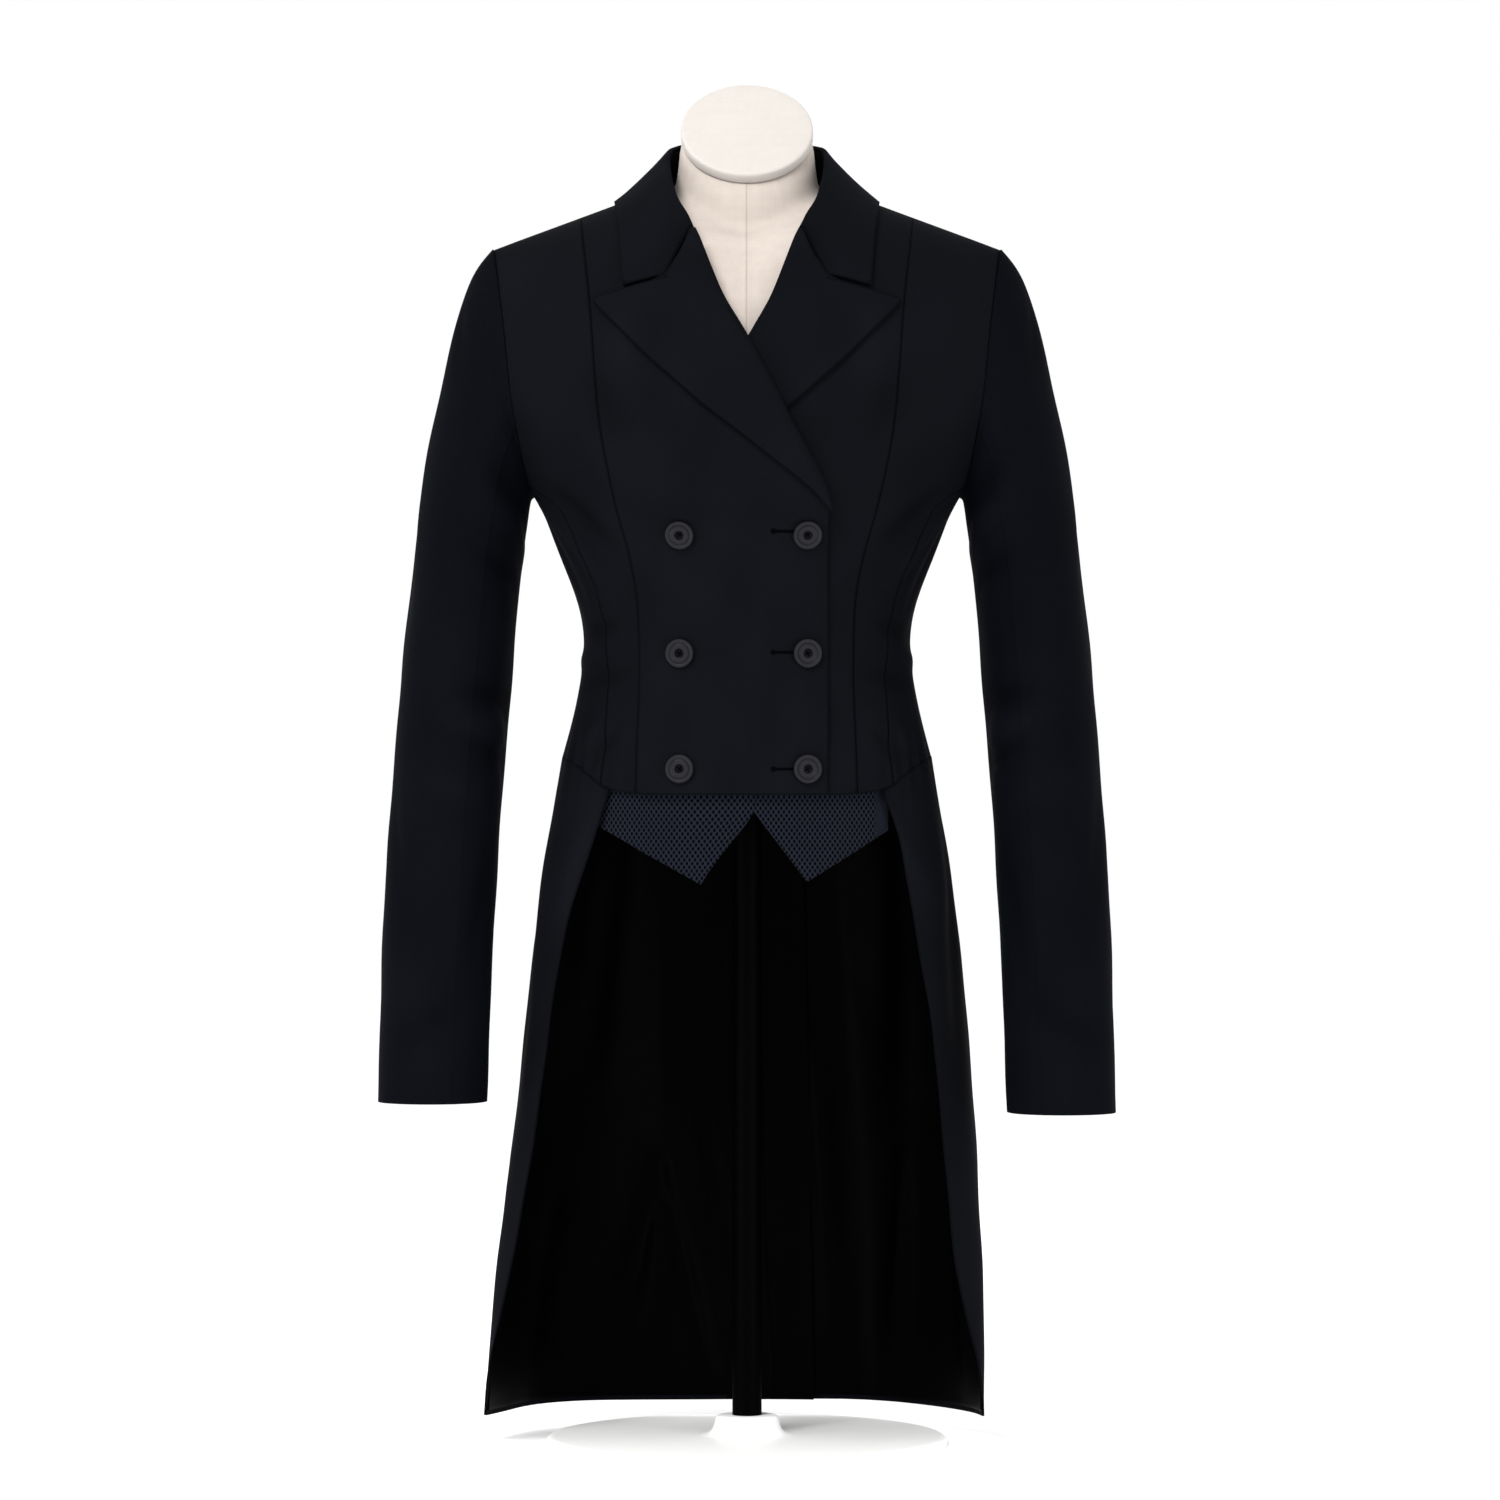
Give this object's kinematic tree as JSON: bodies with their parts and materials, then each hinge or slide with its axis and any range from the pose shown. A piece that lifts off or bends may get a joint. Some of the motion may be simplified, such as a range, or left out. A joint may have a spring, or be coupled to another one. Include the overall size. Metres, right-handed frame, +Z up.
{
  "type": "shadbelly coat on a dress form",
  "caption": "Double-breasted riding tailcoat with peak lapels, vest points and long tails, worn by a limbless dress form on a pole and round base.",
  "frame": {"origin": "centre of the underside of the stand's round base", "axes": "+Z up along the pole, -Y to the coat's front, +X to the wearer's left"},
  "size_m": [0.5482, 0.3, 1.0226],
  "materials": {
    "coat_cloth": "fine twill, near black navy, soft matte",
    "lining": "smooth black satin",
    "vest_cloth": "navy cloth with a small woven diamond check",
    "button_plastic": "dark grey, matte, with a raised rim",
    "form_linen": "beige linen, plain weave",
    "stand_paint": "pale, satin",
    "pole_paint": "black, satin"
  },
  "bodies": {
    "root": {"back_left": "coat_cloth", "back_right": "coat_cloth", "button_inner_bottom": "button_plastic", "button_inner_middle": "button_plastic", "button_inner_top": "button_plastic", "button_outer_bottom": "button_plastic", "button_outer_middle": "button_plastic", "button_outer_top": "button_plastic", "collar_fall": "coat_cloth", "collar_stand": "coat_cloth", "form_cap": "form_linen", "form_torso": "form_linen", "front_left": "coat_cloth", "front_right": "coat_cloth", "lapel_left": "coat_cloth", "lapel_right": "coat_cloth", "side_front_left": "coat_cloth", "side_front_right": "coat_cloth", "stand_base": "stand_paint", "stand_pole": "pole_paint", "tail_left": "coat_cloth", "tail_lining_left": "lining", "tail_lining_right": "lining", "tail_right": "coat_cloth", "top_sleeve_left": "coat_cloth", "top_sleeve_right": "coat_cloth", "under_sleeve_left": "coat_cloth", "under_sleeve_right": "coat_cloth", "underarm_left": "coat_cloth", "underarm_right": "coat_cloth", "vest_point_left": "vest_cloth", "vest_point_right": "vest_cloth"}
  },
  "joints": []
}
